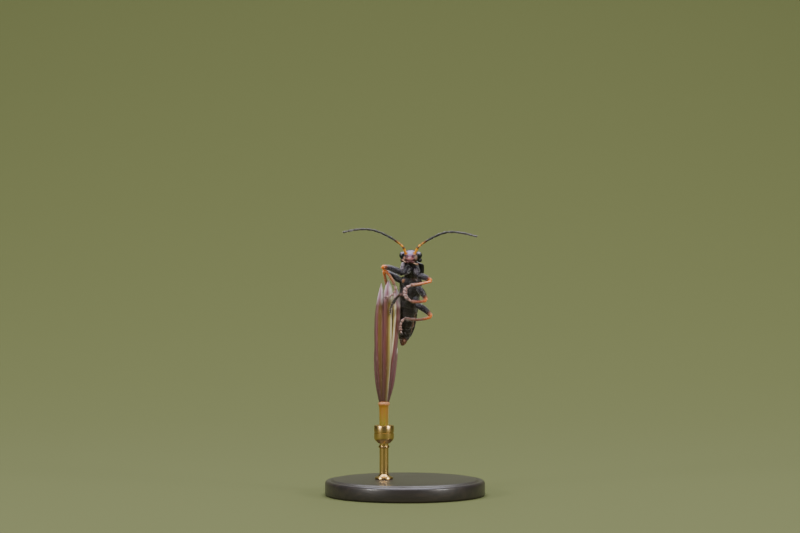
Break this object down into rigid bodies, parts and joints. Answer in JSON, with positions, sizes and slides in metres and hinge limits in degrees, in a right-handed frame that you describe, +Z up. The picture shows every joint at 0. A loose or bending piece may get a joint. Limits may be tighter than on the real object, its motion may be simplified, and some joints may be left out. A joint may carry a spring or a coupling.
{
  "type": "soldier beetle model",
  "caption": "Life-size still model of a soldier beetle clasping a grass spikelet, head up, on a round base with a thin rod",
  "frame": {"origin": "centre of the underside of the stand's round base", "axes": "+Z up, along the beetle from tail to head; the beetle's underside faces -Y and its left side is towards +X"},
  "size_m": [0.016, 0.016, 0.0267],
  "materials": {
    "plinth": "black-stained wood, satin lacquer",
    "brass": "fine-turned, lacquered",
    "grass_stem": "ribbed, dull, olive yellow with an orange node",
    "grass_husk": "ribbed papery husks, mauve over olive with pale edges",
    "body_black": "glossy black chitin under fine grey down",
    "shield": "glossy black disc with pale cream side margins",
    "wing_cover": "finely wrinkled dull black with short grey down",
    "orange": "clear orange chitin turning pinkish brown",
    "foot": "pinkish brown chitin with short bristles",
    "feeler_black": "black with close grey down",
    "eye": "glossy black, finely faceted",
    "jaw": "dark red-brown, polished"
  },
  "bodies": {
    "root": {"stand_base": "plinth", "stand_rod": "brass", "stand_cup": "brass", "perch_stem": "grass_stem", "perch_spikelet": "grass_husk", "prothorax": "body_black", "mesothorax": "body_black", "metathorax": "body_black", "abdomen": "body_black", "pronotum": "shield", "scutellum": "wing_cover", "elytron_left": "wing_cover", "elytron_right": "wing_cover", "head": "body_black", "eye_left": "eye", "eye_right": "eye", "mandible_left": "jaw", "mandible_right": "jaw", "antenna_left_base": "orange", "antenna_left_flagellum": "feeler_black", "antenna_right_base": "orange", "antenna_right_flagellum": "feeler_black", "leg_front_right_femur": "body_black", "leg_front_right_tibia": "orange", "leg_front_right_tarsus": "foot", "leg_front_left_femur": "body_black", "leg_front_left_tibia": "orange", "leg_front_left_tarsus": "foot", "leg_middle_right_femur": "body_black", "leg_middle_right_tibia": "orange", "leg_middle_right_tarsus": "foot", "leg_middle_left_femur": "body_black", "leg_middle_left_tibia": "orange", "leg_middle_left_tarsus": "foot", "leg_hind_right_femur": "body_black", "leg_hind_right_tibia": "orange", "leg_hind_right_tarsus": "foot", "leg_hind_left_femur": "body_black", "leg_hind_left_tibia": "orange", "leg_hind_left_tarsus": "foot"}
  },
  "joints": []
}
